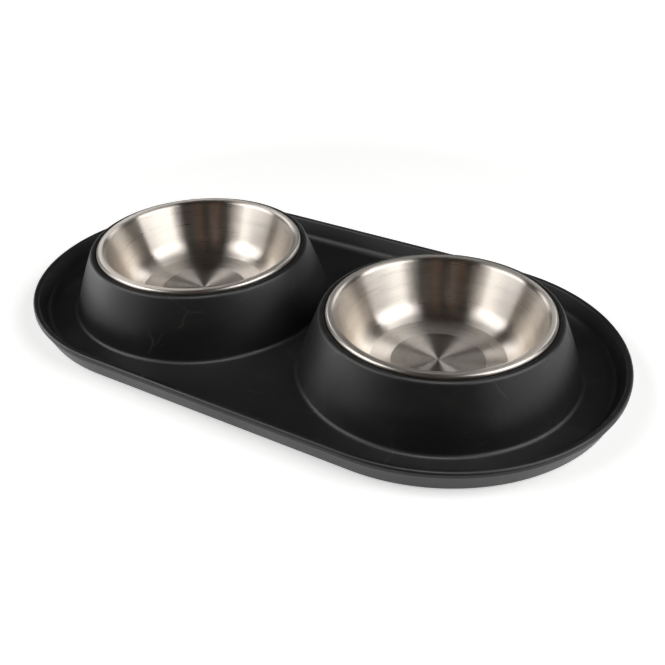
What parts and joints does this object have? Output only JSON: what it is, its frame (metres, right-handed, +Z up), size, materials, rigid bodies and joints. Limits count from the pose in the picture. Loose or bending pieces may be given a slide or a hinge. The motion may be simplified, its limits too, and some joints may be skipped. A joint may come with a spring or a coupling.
{
  "type": "double pet bowl",
  "caption": "Long feeding tray with round ends, a raised lip and domed holders that carry lift-out steel bowls with rolled rims, on rubber feet.",
  "frame": {"origin": "on the ground under the middle of the tray, midway between the bowls", "axes": "+X along the tray from the left bowl to the right bowl, +Y to the back, +Z up"},
  "size_m": [0.4762, 0.2664, 0.0517],
  "materials": {
    "tray_plastic": "fine matte moulding",
    "bowl_steel": "brushed in circles, rim polished",
    "foot_rubber": "matte"
  },
  "bodies": {
    "tray": {"tray": "tray_plastic", "front_left_foot": "foot_rubber", "front_middle_foot": "foot_rubber", "front_right_foot": "foot_rubber", "back_left_foot": "foot_rubber", "back_middle_foot": "foot_rubber", "back_right_foot": "foot_rubber"},
    "left_bowl": {"left_bowl": "bowl_steel"},
    "right_bowl": {"right_bowl": "bowl_steel"}
  },
  "joints": [
    {"name": "left_bowl_lift", "type": "slide", "parent": "tray", "child": "left_bowl", "axis": [0, 0, 1], "range_m": [0, 0.08]},
    {"name": "right_bowl_lift", "type": "slide", "parent": "tray", "child": "right_bowl", "axis": [0, 0, 1], "range_m": [0, 0.08]}
  ]
}
